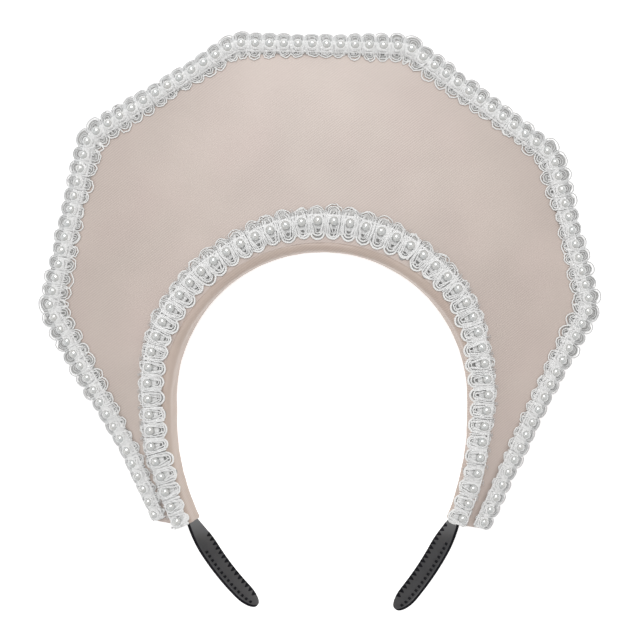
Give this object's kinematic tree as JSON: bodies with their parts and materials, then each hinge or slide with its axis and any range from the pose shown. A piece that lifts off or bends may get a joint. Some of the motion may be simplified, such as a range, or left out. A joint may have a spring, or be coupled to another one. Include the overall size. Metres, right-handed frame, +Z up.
{
  "type": "crown headpiece on a hair band",
  "caption": "Halo-shaped crown headpiece: a stiff fan of blush satin round an open arch, edged with white looped pearl braid and wrapped onto a black plastic hair band.",
  "frame": {"origin": "Centre of the bounding box in X and Y, at the surface it lies on.", "axes": "Z up. The headpiece lies on its back: its front, with the pearls, faces +Z, and leans 6.8 degrees towards -Y. X runs across it, and +Y points to the top of the halo, away from the wearer's chin."},
  "size_m": [0.259, 0.2598, 0.0297],
  "materials": {
    "satin": "blush satin with a fine diagonal twill",
    "black_plastic": "smooth moulded black",
    "braid": "white looped thread",
    "pearl": "pearlescent white bead"
  },
  "bodies": {
    "root": {"halo_panel": "satin", "band_cover": "satin", "hair_band": "black_plastic", "outer_lace": "braid", "inner_lace": "braid", "outer_pearls": "pearl", "inner_pearls": "pearl"}
  },
  "joints": []
}
